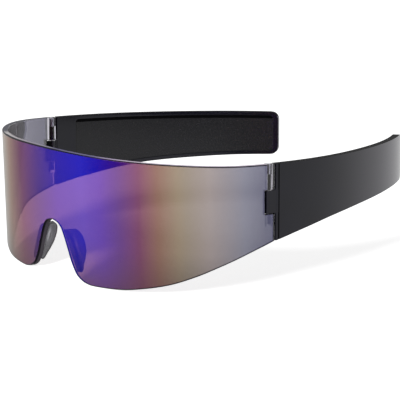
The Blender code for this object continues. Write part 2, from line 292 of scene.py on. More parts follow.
# Places of the columns along the half arc, closer together round the nose
columns = [nose_wall * index / 48 for index in range(49)]
columns += [nose_wall + (slot_wall - nose_wall) * index / 60 for index in range(1, 61)]
columns += [LENS_HALF - step for step in (CLEAR_WINDOW, CLEAR_STEP, CLEAR_END, 0.0)]
columns = [-place for place in reversed(columns[1:])] + columns


def lens_edge(place):
    """Depth of the lower edge below the flat top edge."""
    return LENS_HEIGHT * smooth_value(LENS_EDGE, abs(place) / LENS_HALF)


def border_row(place):
    """Height of the row that marks off an even border along the lower edge."""
    low = max(abs(place) - 2 * MARGIN, 0.0)
    high = min(abs(place) + 2 * MARGIN, LENS_HALF)
    slope = (lens_edge(high) - lens_edge(low)) / (high - low)
    return lens_edge(place) - BORDER * math.sqrt(1.0 + slope * slope)


def lens_rows(place):
    """Heights of the rows down from the flat top edge, with rows along both sides of the slot."""
    rows = [0.0, BORDER] + [SLOT_TOP * index / 5 for index in range(1, 5)]
    rows += [SLOT_TOP + (SLOT_BOTTOM - SLOT_TOP) * index / 5 for index in range(5)]
    rows += [SLOT_BOTTOM + (border_row(place) - SLOT_BOTTOM) * index / 9 for index in range(10)]
    return [-row for row in rows + [lens_edge(place)]]


lens = flat_sheet("mirror_shield", columns, lens_rows)
edit(lens)
pick(
    lens, "FACE",
    lambda face: abs(face.calc_center_median().x) > slot_wall
    and -SLOT_BOTTOM < face.calc_center_median().z < -SLOT_TOP,
)
bpy.ops.mesh.delete(type="FACE")
done()
thicken(lens, LENS_THICKNESS)
bevel_edges(lens, sharp, LENS_EDGE_ROUND, 3)


def linear(hex_colour):
    """Linear RGBA of an sRGB hex colour."""
    values = [int(hex_colour[index:index + 2], 16) / 255 for index in (1, 3, 5)]
    return tuple(v / 12.92 if v <= 0.04045 else ((v + 0.055) / 1.055) ** 2.4 for v in values) + (1.0,)


def new_material(name):
    material = bpy.data.materials.new(name)
    material.use_nodes = True
    material.node_tree.nodes.clear()
    return material


def add_node(material, kind, inputs=None, **settings):
    """Add a node, with its settings, and its inputs as values or as the sockets that feed them."""
    made = material.node_tree.nodes.new(kind)
    for name, value in settings.items():
        setattr(made, name, value)
    for name, value in (inputs or {}).items():
        if isinstance(value, bpy.types.NodeSocket):
            material.node_tree.links.new(value, made.inputs[name])
        else:
            made.inputs[name].default_value = value
    return made


def set_ramp(ramp, stops):
    """Give a colour ramp its stops, as pairs of a place and a colour."""
    while len(ramp.color_ramp.elements) > 1:
        ramp.color_ramp.elements.remove(ramp.color_ramp.elements[-1])
    ramp.color_ramp.elements[0].position = stops[0][0]
    ramp.color_ramp.elements[0].color = linear(stops[0][1])
    for position, colour in stops[1:]:
        ramp.color_ramp.elements.new(position).color = linear(colour)


# Mirror coating: the layers lie thickest where they were blown on, a little to the wearer's left, and
# thin out to both sides. So the colour runs from deep blue through violet, plum, olive brown and sand to
# silver, and a painted shade darkens it toward the lower edge. The rest of the light passes, stained rose
# by the layers and grey by the smoke plastic. A dark border of painted shade runs along the edges. The
# haze is drawn coarser than it is.
COAT_SPAN = 0.096
BLOW = 0.021
DRIFT = 0.0024
PASSING_SHARE = 0.4
PLASTIC_IOR = 1.58
mirror = new_material("mirror_coated_polycarbonate")
arc = add_node(mirror, "ShaderNodeAttribute", attribute_name="arc")
place = add_node(mirror, "ShaderNodeTexCoord")
drift = add_node(
    mirror, "ShaderNodeTexNoise", {"Vector": place.outputs["Object"], "Scale": 26.0, "Detail": 2.0}
)
spread = add_node(
    mirror, "ShaderNodeMath", {0: drift.outputs["Fac"], 1: DRIFT, 2: arc.outputs["Fac"]},
    operation="MULTIPLY_ADD",
)
toward_left = add_node(
    mirror, "ShaderNodeMapRange",
    {"Value": spread.outputs[0], "From Min": BLOW, "From Max": COAT_SPAN},
)
toward_right = add_node(
    mirror, "ShaderNodeMapRange",
    {"Value": spread.outputs[0], "From Min": BLOW, "From Max": -COAT_SPAN},
)
off_blow = add_node(
    mirror, "ShaderNodeMath", {0: toward_left.outputs["Result"], 1: toward_right.outputs["Result"]}
)
coat = add_node(mirror, "ShaderNodeValToRGB", {"Fac": off_blow.outputs[0]})
set_ramp(coat, [
    (0.0, "#1420F0"), (0.12, "#1C10D8"), (0.24, "#3C10A8"), (0.36, "#742870"), (0.46, "#A07860"),
    (0.56, "#BCA888"), (0.7, "#C8B8B4"), (0.86, "#A0A0B4"), (1.0, "#707090"),
])
# Painted shade: the coat grows darker toward the lower edge.
level = add_node(mirror, "ShaderNodeSeparateXYZ", {"Vector": place.outputs["Object"]})
lower = add_node(
    mirror, "ShaderNodeMapRange", {"Value": level.outputs["Z"], "From Min": 0.0, "From Max": LENS_HEIGHT}
)
depth = add_node(mirror, "ShaderNodeValToRGB", {"Fac": lower.outputs["Result"]})
set_ramp(depth, [(0.0, "#888888"), (0.35, "#E8E8E8"), (1.0, "#FFFFFF")])
coat_with_low_shade = add_node(
    mirror, "ShaderNodeMix", {0: 1.0, 6: coat.outputs["Color"], 7: depth.outputs["Color"]},
    data_type="RGBA", blend_type="MULTIPLY",
)
# Painted shade: a dark border along the edges darkens the coat and the light that passes there.
coat_edge_shade = add_node(mirror, "ShaderNodeAttribute", attribute_name="coat_edge_shade")
coat_with_edge_shade = add_node(
    mirror, "ShaderNodeMix",
    {0: coat_edge_shade.outputs["Fac"], 6: coat_with_low_shade.outputs[2], 7: linear("#17141F")}, data_type="RGBA",
)
smoke_stain = add_node(mirror, "ShaderNodeValToRGB", {"Fac": off_blow.outputs[0]})
set_ramp(smoke_stain, [(0.0, "#E8AC98"), (0.14, "#E0A4B8"), (0.4, "#CC9C9C"), (0.6, "#909090")])
stain_with_edge_shade = add_node(
    mirror, "ShaderNodeMix",
    {0: coat_edge_shade.outputs["Fac"], 6: smoke_stain.outputs["Color"], 7: linear("#2A2630")}, data_type="RGBA",
)
haze = add_node(
    mirror, "ShaderNodeTexNoise", {"Vector": place.outputs["Object"], "Scale": 420.0, "Detail": 3.0}
)
gloss = add_node(
    mirror, "ShaderNodeMapRange",
    {"Value": haze.outputs["Fac"], "To Min": 0.015, "To Max": 0.05},
)
reflecting = add_node(
    mirror, "ShaderNodeBsdfPrincipled",
    {"Base Color": coat_with_edge_shade.outputs[2], "Metallic": 1.0, "Roughness": gloss.outputs["Result"]},
)
passing = add_node(
    mirror, "ShaderNodeBsdfRefraction", {"Color": stain_with_edge_shade.outputs[2], "Roughness": 0.0, "IOR": PLASTIC_IOR}
)
shared = add_node(
    mirror, "ShaderNodeMixShader", {0: PASSING_SHARE, 1: reflecting.outputs[0], 2: passing.outputs[0]}
)
add_node(mirror, "ShaderNodeOutputMaterial", {"Surface": shared.outputs[0]})

# Smoke polycarbonate, polished by the mould: the bare inner face and the edges of the shield. It is
# clear enough to see through, with a soft shine that grows where it is seen edge on.
smoke = new_material("smoke_polycarbonate")
place = add_node(smoke, "ShaderNodeTexCoord")
haze = add_node(smoke, "ShaderNodeTexNoise", {"Vector": place.outputs["Object"], "Scale": 300.0})
gloss = add_node(
    smoke, "ShaderNodeMapRange", {"Value": haze.outputs["Fac"], "To Min": 0.01, "To Max": 0.02}
)
body = add_node(
    smoke, "ShaderNodeBsdfPrincipled",
    {
        "Base Color": linear("#D2CFD6"), "Transmission Weight": 1.0, "IOR": PLASTIC_IOR,
        "Roughness": gloss.outputs["Result"],
    },
)
add_node(smoke, "ShaderNodeOutputMaterial", {"Surface": body.outputs[0]})

# Uncoated ends of the shield, drilled for the pins: clear plastic that bends what is behind it.
clear = new_material("clear_polycarbonate")
place = add_node(clear, "ShaderNodeTexCoord")
haze = add_node(clear, "ShaderNodeTexNoise", {"Vector": place.outputs["Object"], "Scale": 500.0})
gloss = add_node(
    clear, "ShaderNodeMapRange", {"Value": haze.outputs["Fac"], "To Min": 0.02, "To Max": 0.06}
)
body = add_node(
    clear, "ShaderNodeBsdfPrincipled",
    {
        "Base Color": linear("#D2D0DA"), "Transmission Weight": 1.0, "IOR": PLASTIC_IOR,
        "Roughness": gloss.outputs["Result"],
    },
)
add_node(clear, "ShaderNodeOutputMaterial", {"Surface": body.outputs[0]})

# The shield's edges, round the slots and in the drilled holes: matt, and almost black where they wrap
# round the front of an edge. Behind that the edge is dark grey below, and on the top edge a painted
# highlight, a pale line, which takes up the whole edge toward both sides. The speckle is drawn coarser
# than it is.
EDGE_MIDDLE = 0.41
TOP_BAND = (0.0004, 0.0001)
shield_edges = new_material("shield_edges_matt")
place = add_node(shield_edges, "ShaderNodeTexCoord")
speckle = add_node(shield_edges, "ShaderNodeTexNoise", {"Vector": place.outputs["Object"], "Scale": 900.0})
dark = add_node(shield_edges, "ShaderNodeValToRGB", {"Fac": speckle.outputs["Fac"]})
set_ramp(dark, [(0.3, "#111015"), (0.7, "#1A181F")])
arc = add_node(shield_edges, "ShaderNodeAttribute", attribute_name="arc")
along = add_node(
    shield_edges, "ShaderNodeMapRange",
    {"Value": arc.outputs["Fac"], "From Min": -COAT_SPAN, "From Max": COAT_SPAN},
)
# Painted highlight: the pale line on the top edge, brighter or dimmer along the arc.
painted_edge_highlight = add_node(shield_edges, "ShaderNodeValToRGB", {"Fac": along.outputs["Result"]})
set_ramp(painted_edge_highlight, [
    (0.24, "#686870"), (0.28, "#E4E0E0"), (0.4, "#BCB4C0"), (0.49, "#A4A0B4"), (0.51, "#747090"),
    (0.63, "#787498"), (0.68, "#C0B0D0"), (0.75, "#E4D8E8"),
])
level = add_node(shield_edges, "ShaderNodeSeparateXYZ", {"Vector": place.outputs["Object"]})
upper = add_node(
    shield_edges, "ShaderNodeMapRange",
    {
        "Value": level.outputs["Z"],
        "From Min": LENS_HEIGHT - TOP_BAND[0], "From Max": LENS_HEIGHT - TOP_BAND[1],
    },
)
edge_grey_and_highlight = add_node(
    shield_edges, "ShaderNodeMix",
    {0: upper.outputs["Result"], 6: linear("#4A464C"), 7: painted_edge_highlight.outputs["Color"]}, data_type="RGBA",
)
edge_depth = add_node(shield_edges, "ShaderNodeAttribute", attribute_name="depth")
off_middle = add_node(
    shield_edges, "ShaderNodeMath", {0: along.outputs["Result"], 1: EDGE_MIDDLE}, operation="SUBTRACT"
)
sideways = add_node(shield_edges, "ShaderNodeMath", {0: off_middle.outputs[0]}, operation="ABSOLUTE")
back_share_widening = add_node(
    shield_edges, "ShaderNodeMapRange",
    {"Value": sideways.outputs[0], "From Min": 0.11, "From Max": 0.22, "To Min": 1.0, "To Max": 4.0},
)
reached = add_node(
    shield_edges, "ShaderNodeMath", {0: edge_depth.outputs["Fac"], 1: back_share_widening.outputs["Result"]},
    operation="MULTIPLY",
)
edge_back_share = add_node(
    shield_edges, "ShaderNodeMapRange", {"Value": reached.outputs[0], "From Min": 0.28, "From Max": 0.40}
)
tone = add_node(
    shield_edges, "ShaderNodeMix",
    {0: edge_back_share.outputs["Result"], 6: dark.outputs["Color"], 7: edge_grey_and_highlight.outputs[2]}, data_type="RGBA",
)
body = add_node(
    shield_edges, "ShaderNodeBsdfPrincipled",
    {"Base Color": tone.outputs[2], "Roughness": 0.5, "Specular IOR Level": 0.02},
)
add_node(shield_edges, "ShaderNodeOutputMaterial", {"Surface": body.outputs[0]})

lens_materials = (mirror, smoke, clear, shield_edges)
for material in lens_materials:
    lens.data.materials.append(material)
for face in lens.data.polygons:
    middle = face.center
    window = abs(middle.x) > LENS_HALF - (CLEAR_WINDOW if middle.z > -SLOT_TOP else CLEAR_END)
    if abs(face.normal.y) < 0.6 and not (window and middle.z > -LENS_EDGE_ROUND):
        face.material_index = 3
    elif window:
        face.material_index = 2
    elif middle.y < LENS_EDGE_ROUND * 0.7 or face.normal.y < -0.95:
        face.material_index = 0
    else:
        face.material_index = 1

known = {"arc": [], "coat_edge_shade": [], "depth": []}
for vertex in lens.data.vertices:
    share = abs(vertex.co.x) / LENS_HALF
    inside = -border_row(vertex.co.x) - MARGIN < vertex.co.z < -BORDER + MARGIN
    known["arc"].append(vertex.co.x)
    known["coat_edge_shade"].append(0.0 if inside else 1.0)
    known["depth"].append(0.0 if inside else vertex.co.y / LENS_THICKNESS)
    side = -1.0 if vertex.co.x < 0.0 else 1.0
    height = vertex.co.z
    x, y = plan_point(lens_plan, share, vertex.co.y)
    vertex.co = (side * x, y - height * LENS_LEAN * (1.0 - share ** 4), LENS_HEIGHT + height)
known_places = kdtree.KDTree(len(lens.data.vertices))
for vertex in lens.data.vertices:
    known_places.insert(vertex.co, vertex.index)
known_places.balance()

for side in (1, -1):
    axis = (side * PIN_AXIS[0], PIN_AXIS[1])
    for name, radius, high, low, operation, index in (
        ("upper_knuckle", KNUCKLE_RADIUS, KNUCKLE_DROP, SLOT_TOP, "UNION", 2),
        ("lower_knuckle", KNUCKLE_RADIUS, SLOT_BOTTOM, KNUCKLE_BOTTOM, "UNION", 2),
        ("head_bore", BORE_HEAD_RADIUS, -OVERCUT, HEAD_BORE_BOTTOM, "DIFFERENCE", 2),
        ("shank_bore", BORE_RADIUS, SHANK_BORE_TOP, SHANK_BORE_BOTTOM, "DIFFERENCE", 3),
    ):
        tool = cylinder(name, radius, LENS_HEIGHT - high, LENS_HEIGHT - low, axis)
        give_materials(tool, lens_materials, index)
        boolean(lens, tool, operation)

for name, values in known.items():
    attribute = lens.data.attributes.new(name, "FLOAT", "POINT")
    for vertex in lens.data.vertices:
        attribute.data[vertex.index].value = values[known_places.find(vertex.co)[1]]
smooth_shading(lens, 50.0)
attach(lens, "front")
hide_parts("lens_shield")

# Nose pads
# A pair of clear smoke fins moulded from soft plastic. Each stands back from the shield like half a
# disc, rounded all along its free edge and a little hollowed on the side away from the nose, on a
# thin foot that is bonded behind the edge of the nose cut-out.
PAD_PROJECTION = 0.0052
PAD_THICKNESS = 0.0015
PAD_ROOT_GAP = 0.0003
PAD_ROUND = 0.0005
PAD_SPLAY = math.radians(17.0)
PAD_TOP = (0.076, 0.615)
PAD_BOTTOM = (0.150, 0.920)
PAD_OUTLINE = (
    (0.0, 0.66), (0.05, 0.82), (0.14, 0.95), (0.28, 1.0), (0.48, 0.94), (0.70, 0.71), (0.86, 0.46),
    (0.95, 0.34), (1.0, 0.22),
)
HOLLOW_DEPTH = 0.0003
HOLLOW_MIDDLE = (0.34, 0.30)
HOLLOW_REACH = (0.34, 0.42)
FOOT_THICKNESS = 0.0005
FOOT_ROUND = 0.00018
FOOT_GAP = 0.00005
FOOT_INNER = (-0.00115, -0.0008)
FOOT_OUTER = 0.0031
FOOT_OUTLINE = (
    (0.0, 0.45), (0.08, 0.80), (0.22, 0.95), (0.60, 1.0), (0.86, 0.98), (0.96, 0.80), (1.0, 0.50),
)
GLUE = -0.1

# Smoke plastic that lets least light through at the foot, with its smoke-coloured glue, more at the
# rounded rim of the fin and most where the fin is hollowed; there a painted highlight lightens it too.
pad_plastic = new_material("clear_smoke_pad")
place = add_node(pad_plastic, "ShaderNodeTexCoord")
cloud = add_node(pad_plastic, "ShaderNodeTexNoise", {"Vector": place.outputs["Object"], "Scale": 180.0})
hollow = add_node(pad_plastic, "ShaderNodeAttribute", attribute_name="hollow")
# Painted highlight: the hollowed middle of the fin is painted much lighter than its thinness alone gives.
clearness_and_highlight = add_node(
    pad_plastic, "ShaderNodeMath", {0: cloud.outputs["Fac"], 1: 0.2, 2: hollow.outputs["Fac"]},
    operation="MULTIPLY_ADD",
)
tone = add_node(pad_plastic, "ShaderNodeValToRGB", {"Fac": clearness_and_highlight.outputs[0]})
set_ramp(tone, [(0.0, "#47464C"), (0.06, "#66656B"), (0.4, "#78777E"), (0.9, "#B6B5BB")])
gloss = add_node(
    pad_plastic, "ShaderNodeMapRange", {"Value": cloud.outputs["Fac"], "To Min": 0.04, "To Max": 0.12}
)
body = add_node(
    pad_plastic, "ShaderNodeBsdfPrincipled",
    {
        "Base Color": tone.outputs["Color"], "Transmission Weight": 0.9, "IOR": 1.47,
        "Roughness": gloss.outputs["Result"],
    },
)
add_node(pad_plastic, "ShaderNodeOutputMaterial", {"Surface": body.outputs[0]})


def lens_back(share, height_share, behind=0.0):
    """Point on the shield's inner face, or a distance behind it."""
    x, y = plan_point(lens_plan, share, LENS_THICKNESS + behind)
    height = -LENS_HEIGHT * height_share
    return Vector((x, y - height * LENS_LEAN * (1.0 - share ** 4), LENS_HEIGHT + height))


pad_top = lens_back(*PAD_TOP)
pad_bottom = lens_back(*PAD_BOTTOM)
pad_back = Vector((math.sin(PAD_SPLAY), math.cos(PAD_SPLAY), 0.0))
pad_across = (pad_bottom - pad_top).cross(pad_back).normalized()
if pad_across.x < 0.0:
    pad_across.negate()
pad_length = (pad_bottom - pad_top).length
pad_frame = Matrix(((pad_bottom - pad_top) / pad_length, pad_back, pad_across)).transposed()
pad_columns = [pad_length * (1.0 - math.cos(math.pi * index / 28)) / 2 for index in range(29)]


def pad_rows(place):
    """Rows from the free edge of the fin to its root."""
    out = PAD_PROJECTION * smooth_value(PAD_OUTLINE, place / pad_length)
    return [out * (1.0 - index / 8) for index in range(9)]


def foot_rows(place):
    """Rows of the foot from its outer edge to the one that follows the cut-out."""
    share = place / pad_length
    outer = FOOT_OUTER * smooth_value(FOOT_OUTLINE, share)
    inner = FOOT_INNER[0] + (FOOT_INNER[1] - FOOT_INNER[0]) * share
    return [outer + (inner - outer) * index / 6 for index in range(7)]


def hollow_share(along_root, out):
    """Share of the full hollow at a place on the fin: one in its middle and none at its border."""
    across = (along_root / pad_length - HOLLOW_MIDDLE[0]) / HOLLOW_REACH[0]
    back = (out / PAD_PROJECTION - HOLLOW_MIDDLE[1]) / HOLLOW_REACH[1]
    return max(1.0 - across ** 2 - back ** 2, 0.0) ** 2


for side, name in ((1, "left"), (-1, "right")):
    pad = flat_sheet("nose_fin_" + name, pad_columns, pad_rows)
    thicken(pad, PAD_THICKNESS)
    bevel_edges(pad, sharp, PAD_ROUND, 4)
    for vertex in pad.data.vertices:
        along_root, shift, out = vertex.co
        if shift > PAD_THICKNESS * 0.9:
            shift -= HOLLOW_DEPTH * hollow_share(along_root, out)
        shift -= PAD_THICKNESS / 2
        free = min(out / (PAD_PROJECTION / 2), 1.0)
        seat = (PAD_ROOT_GAP + shift * math.tan(PAD_SPLAY)) * (1.0 - free)
        vertex.co = pad_top + pad_frame @ Vector((along_root, out + seat, shift))
    face_outwards(pad)
    foot = flat_sheet("foot", pad_columns, foot_rows)
    thicken(foot, FOOT_THICKNESS)
    bevel_edges(foot, sharp, FOOT_ROUND, 3)
    for vertex in foot.data.vertices:
        along, behind, out = vertex.co
        share, height_share = (a + (b - a) * along / pad_length for a, b in zip(PAD_TOP, PAD_BOTTOM))
        vertex.co = lens_back(share + out / LENS_HALF, height_share, FOOT_GAP + behind)
    face_outwards(foot)
    boolean(pad, foot, "UNION")
    hollows = pad.data.attributes.new("hollow", "FLOAT", "POINT")
    for vertex in pad.data.vertices:
        along_root, out, shift = pad_frame.inverted() @ (vertex.co - pad_top)
        on_foot = abs(shift) > PAD_THICKNESS * 0.6
        hollows.data[vertex.index].value = GLUE if on_foot else hollow_share(along_root, out)
        vertex.co.x *= side
    face_outwards(pad)
    pad.data.materials.append(pad_plastic)
    smooth_shading(pad, 50.0)
    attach(pad, "front")
    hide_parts("nose_pad_" + name)

# Hinge pins
# A headed pin of bright steel, turned and pressed in from the top edge, so that its head sits just
# under the shield's edge and its shank runs through the barrel of the temple.
PIN_HEAD_RADIUS = 0.0008
PIN_RADIUS = 0.0005
PIN_HEAD_LENGTH = 0.0028
PIN_NECK_LENGTH = 0.0008
PIN_ROUND = 0.00015
PIN_TOP = LENS_HEIGHT - 0.0003
PIN_BOTTOM = LENS_HEIGHT - 0.0198

# Bright steel with the fine rings of turning, drawn coarser than they are
steel = new_material("turned_steel")
place = add_node(steel, "ShaderNodeTexCoord")
turning = add_node(
    steel, "ShaderNodeTexWave", {"Vector": place.outputs["Object"], "Scale": 1400.0, "Distortion": 0.6},
    bands_direction="Z",
)
tone = add_node(steel, "ShaderNodeValToRGB", {"Fac": turning.outputs["Fac"]})
set_ramp(tone, [(0.0, "#C9CACD"), (1.0, "#E4E4E6")])
gloss = add_node(
    steel, "ShaderNodeMapRange", {"Value": turning.outputs["Fac"], "To Min": 0.16, "To Max": 0.28}
)
body = add_node(
    steel, "ShaderNodeBsdfPrincipled",
    {"Base Color": tone.outputs["Color"], "Metallic": 1.0, "Roughness": gloss.outputs["Result"]},
)
add_node(steel, "ShaderNodeOutputMaterial", {"Surface": body.outputs[0]})

for side, name in ((1, "left"), (-1, "right")):
    axis = (side * PIN_AXIS[0], PIN_AXIS[1])
    head_bottom = PIN_TOP - PIN_HEAD_LENGTH
    pin = cylinder("headed_pin_" + name, PIN_HEAD_RADIUS, PIN_TOP, head_bottom, axis, 48)
    edit(pin)
    pick(pin, "FACE", lambda face: face.normal.z < -0.9)
    bpy.ops.mesh.extrude_region_move(TRANSFORM_OT_translate={"value": (0.0, 0.0, -PIN_NECK_LENGTH)})
    bpy.ops.transform.resize(value=(PIN_RADIUS / PIN_HEAD_RADIUS, PIN_RADIUS / PIN_HEAD_RADIUS, 1.0))
    bpy.ops.mesh.extrude_region_move(
        TRANSFORM_OT_translate={"value": (0.0, 0.0, PIN_BOTTOM - (head_bottom - PIN_NECK_LENGTH))}
    )
    done()
    bevel_edges(pin, sharp, PIN_ROUND, 3)
    pin.data.materials.append(steel)
    smooth_shading(pin)
    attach(pin, "front")
    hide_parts("hinge_pin_" + name)

# Temples
# Wide arms moulded in black nylon and polished to a gloss. Each follows the side of the head, tapers
# to a round-cornered tip and is sunk a little inside its rim. A barrel moulded on its front end
# turns on the hinge pin.
TEMPLE_LENGTH = 0.090
TEMPLE_THICKNESS = 0.0026
TEMPLE_TURNS = ((0.0, 91.0), (0.13, 97.0), (0.42, 111.5), (0.70, 121.5), (1.0, 136.0))
TEMPLE_HEIGHTS = (
    (0.0, 1.0), (0.13, 0.895), (0.30, 0.785), (0.47, 0.720), (0.64, 0.680), (0.81, 0.650), (1.0, 0.632),
)
TEMPLE_ROOT_HEIGHT = LENS_HEIGHT * LENS_EDGE[-1][1]
TIP_RADIUS = 0.0030
HINGE_GAP = 0.0004
OUTER_ROUND = 0.0011
INNER_ROUND = 0.0007
FRONT_ROUND = 0.0009
FINE_ROUND = 0.00012
PANEL_DEPTH = 0.0006
PANEL_START = 0.0082
PANEL_RIM = 0.0014
PANEL_TIP_RIM = 0.0021
PANEL_LINE = 0.0012
PANEL_CORNER = 0.0012
GROOVE = (0.0010, 0.0015)
GROOVE_DEPTH = 0.0003
EAR_RADIUS = 0.0010
EAR_REACH = 0.0023
EAR_INSET = 0.0005
BARREL_END_GAP = 0.0003
BORE_CLEARANCE = 0.0001
BORE_OVERCUT = 0.001
WEB_INNER_SHARE = 0.4
WEB_REACH = 0.0021
WEB_SKIN = 0.00002

# Black nylon with a mould's gloss and a faint violet sheen where it is seen edge on. The grain is drawn
# coarser than it is, in all three finishes.
GRAIN_SCALE = 1500.0
GRAIN_DEPTH = 0.0001
nylon = new_material("gloss_black_nylon")
place = add_node(nylon, "ShaderNodeTexCoord")
flow = add_node(
    nylon, "ShaderNodeTexNoise", {"Vector": place.outputs["Object"], "Scale": 90.0, "Detail": 3.0}
)
tone = add_node(nylon, "ShaderNodeValToRGB", {"Fac": flow.outputs["Fac"]})
set_ramp(tone, [(0.3, "#090911"), (0.7, "#0D0D17")])
grain = add_node(
    nylon, "ShaderNodeTexNoise",
    {"Vector": place.outputs["Object"], "Scale": GRAIN_SCALE, "Detail": 2.0},
)
gloss = add_node(
    nylon, "ShaderNodeMapRange", {"Value": grain.outputs["Fac"], "To Min": 0.07, "To Max": 0.14}
)
skin = add_node(
    nylon, "ShaderNodeBump", {"Height": grain.outputs["Fac"], "Strength": 0.04, "Distance": GRAIN_DEPTH}
)
body = add_node(
    nylon, "ShaderNodeBsdfPrincipled",
    {
        "Base Color": tone.outputs["Color"], "Roughness": gloss.outputs["Result"],
        "Specular IOR Level": 0.32, "Normal": skin.outputs["Normal"],
        "Sheen Weight": 0.16, "Sheen Roughness": 0.35, "Sheen Tint": linear("#E2DAF6"),
    },
)
add_node(nylon, "ShaderNodeOutputMaterial", {"Surface": body.outputs[0]})

# The floor of the sunk panel came off a finely blasted part of the mould: satin, and a shade darker.
satin = new_material("satin_black_nylon")
place = add_node(satin, "ShaderNodeTexCoord")
grain = add_node(
    satin, "ShaderNodeTexNoise",
    {"Vector": place.outputs["Object"], "Scale": GRAIN_SCALE, "Detail": 2.0},
)
tone = add_node(satin, "ShaderNodeValToRGB", {"Fac": grain.outputs["Fac"]})
set_ramp(tone, [(0.3, "#141417"), (0.7, "#19191B")])
gloss = add_node(
    satin, "ShaderNodeMapRange", {"Value": grain.outputs["Fac"], "To Min": 0.18, "To Max": 0.28}
)
skin = add_node(
    satin, "ShaderNodeBump", {"Height": grain.outputs["Fac"], "Strength": 0.06, "Distance": GRAIN_DEPTH}
)
body = add_node(
    satin, "ShaderNodeBsdfPrincipled",
    {
        "Base Color": tone.outputs["Color"], "Roughness": gloss.outputs["Result"],
        "Specular IOR Level": 0.34, "Normal": skin.outputs["Normal"],
    },
)
add_node(satin, "ShaderNodeOutputMaterial", {"Surface": body.outputs[0]})

# Painted shade in matt black, with almost no shine: the narrow upper and lower edges, the corner under
# the upper rim of the panel, the groove by the hinge and the ear beside the barrel.
painted_shade_black = new_material("matt_black_nylon")
place = add_node(painted_shade_black, "ShaderNodeTexCoord")
grain = add_node(
    painted_shade_black, "ShaderNodeTexNoise", {"Vector": place.outputs["Object"], "Scale": GRAIN_SCALE}
)
tone = add_node(painted_shade_black, "ShaderNodeValToRGB", {"Fac": grain.outputs["Fac"]})
set_ramp(tone, [(0.3, "#050506"), (0.7, "#080809")])
body = add_node(
    painted_shade_black, "ShaderNodeBsdfPrincipled",
    {"Base Color": tone.outputs["Color"], "Roughness": 0.5, "Specular IOR Level": 0.02},
)
add_node(painted_shade_black, "ShaderNodeOutputMaterial", {"Surface": body.outputs[0]})

temple_materials = (nylon, satin, painted_shade_black)
temple_plan = plan_curve((lens_end[0], lens_end[1] + HINGE_GAP), TEMPLE_TURNS, TEMPLE_LENGTH)

# Places of the columns along the temple, closer together where it is rounded
tip_steps = (0.0034, PANEL_TIP_RIM, 0.00145, 0.00088, 0.0004, 0.0001, 0.0)
temple_columns = [0.0, 0.0014, 0.0028, 0.0042, 0.0056, 0.0069, PANEL_START]
body_end = TEMPLE_LENGTH - tip_steps[0]
temple_columns += [PANEL_START + (body_end - PANEL_START) * index / 52 for index in range(1, 53)]
temple_columns += [TEMPLE_LENGTH - step for step in tip_steps[1:]]


def box_between(name, low, high):
    """Box between two corners."""
    bpy.ops.object.select_all(action="DESELECT")
    bpy.ops.mesh.primitive_cube_add(size=1.0)
    box = bpy.context.object
    box.name = name
    for vertex in box.data.vertices:
        vertex.co = [low[k] if vertex.co[k] < 0.0 else high[k] for k in range(3)]
    return box


def temple_rows(place):
    """Rows of the temple's side: its edges, drawn in round the tip, and the edges of the panel."""
    height = TEMPLE_ROOT_HEIGHT * smooth_value(TEMPLE_HEIGHTS, place / TEMPLE_LENGTH)
    from_tip = min(TEMPLE_LENGTH - place, TIP_RADIUS)
    drop = TIP_RADIUS - math.sqrt(TIP_RADIUS ** 2 - (TIP_RADIUS - from_tip) ** 2)
    rim = drop + PANEL_RIM
    return [-drop, -rim, -rim - PANEL_LINE, rim - height, drop - height]


